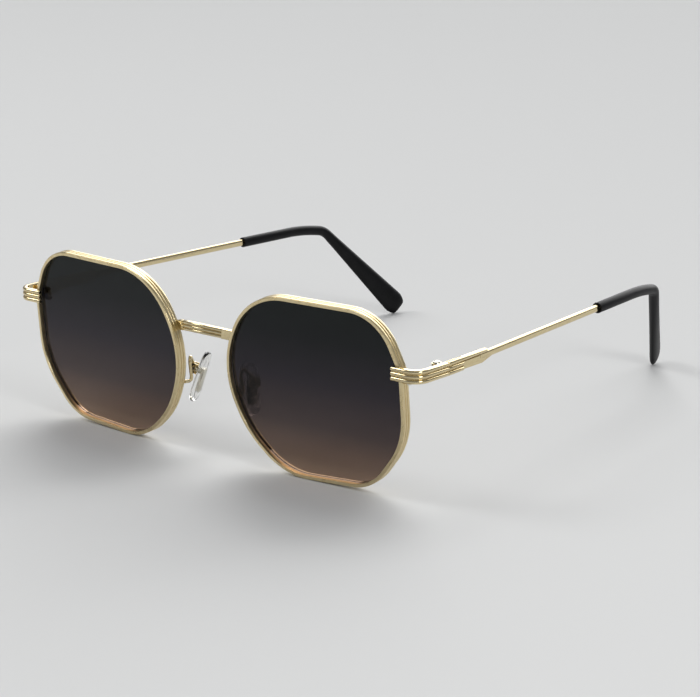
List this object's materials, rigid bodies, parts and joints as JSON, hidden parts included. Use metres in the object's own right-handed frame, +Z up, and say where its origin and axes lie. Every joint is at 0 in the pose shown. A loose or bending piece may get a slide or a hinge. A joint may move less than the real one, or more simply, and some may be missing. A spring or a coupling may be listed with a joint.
{
  "type": "sunglasses",
  "caption": "Square metal sunglasses with tinted lenses, a ribbed bridge and endpieces, hinged thin temples with dark sleeves, and screw-on clear nose pads.",
  "frame": {"origin": "on the table, under the middle of the whole glasses: the middle of the width and of the depth, at the height of the lowest rims and temple tips", "axes": "+X towards the left temple (the left of a person wearing them), -Y the way the lenses face, +Z up from the table the open glasses stand on"},
  "size_m": [0.1388, 0.1405, 0.0475],
  "materials": {
    "pale_gold": "pale champagne gold plating over a nickel alloy, finely brushed along its length",
    "screw_steel": "small turned steel parts, bright",
    "tinted_lens": "tint running from nearly black at the top to warm brown at the bottom, glossy",
    "clear_soft": "soft clear moulded pad, glossy",
    "black_sleeve": "satin black moulded sleeve"
  },
  "bodies": {
    "front": {"rim_left": "pale_gold", "lens_left": "tinted_lens", "endpiece_left": "pale_gold", "lock_block_upper_left": "pale_gold", "lock_block_lower_left": "pale_gold", "lock_screw_left": "screw_steel", "hinge_front_left": "pale_gold", "hinge_screw_left": "screw_steel", "pad_arm_left": "pale_gold", "pad_box_left": "pale_gold", "pad_screw_left": "screw_steel", "rim_right": "pale_gold", "lens_right": "tinted_lens", "endpiece_right": "pale_gold", "lock_block_upper_right": "pale_gold", "lock_block_lower_right": "pale_gold", "lock_screw_right": "screw_steel", "hinge_front_right": "pale_gold", "hinge_screw_right": "screw_steel", "pad_arm_right": "pale_gold", "pad_box_right": "pale_gold", "pad_screw_right": "screw_steel", "bridge": "pale_gold"},
    "temple_left": {"temple_left": "pale_gold", "temple_tip_left": "black_sleeve", "hinge_temple_left": "pale_gold"},
    "temple_right": {"temple_right": "pale_gold", "temple_tip_right": "black_sleeve", "hinge_temple_right": "pale_gold"},
    "nose_pad_left": {"nose_pad_left": "clear_soft", "pad_insert_left": "screw_steel"},
    "nose_pad_right": {"nose_pad_right": "clear_soft", "pad_insert_right": "screw_steel"}
  },
  "joints": [
    {"name": "temple_fold_left", "type": "hinge", "parent": "front", "child": "temple_left", "pos_m": [0.0663, -0.05582, 0.03281], "axis": [0, -0.0593, 0.9982], "range_deg": [0, 82]},
    {"name": "temple_fold_right", "type": "hinge", "parent": "front", "child": "temple_right", "pos_m": [-0.0663, -0.05582, 0.03281], "axis": [0, 0.0593, -0.9982], "range_deg": [0, 73]},
    {"name": "pad_rock_left", "type": "hinge", "parent": "front", "child": "nose_pad_left", "pos_m": [0.01027, -0.05954, 0.02032], "axis": [0.3983, 0.908, -0.1302], "range_deg": [-5, 10]},
    {"name": "pad_rock_right", "type": "hinge", "parent": "front", "child": "nose_pad_right", "pos_m": [-0.01027, -0.05954, 0.02032], "axis": [0.3983, -0.908, 0.1302], "range_deg": [-5, 10]}
  ]
}
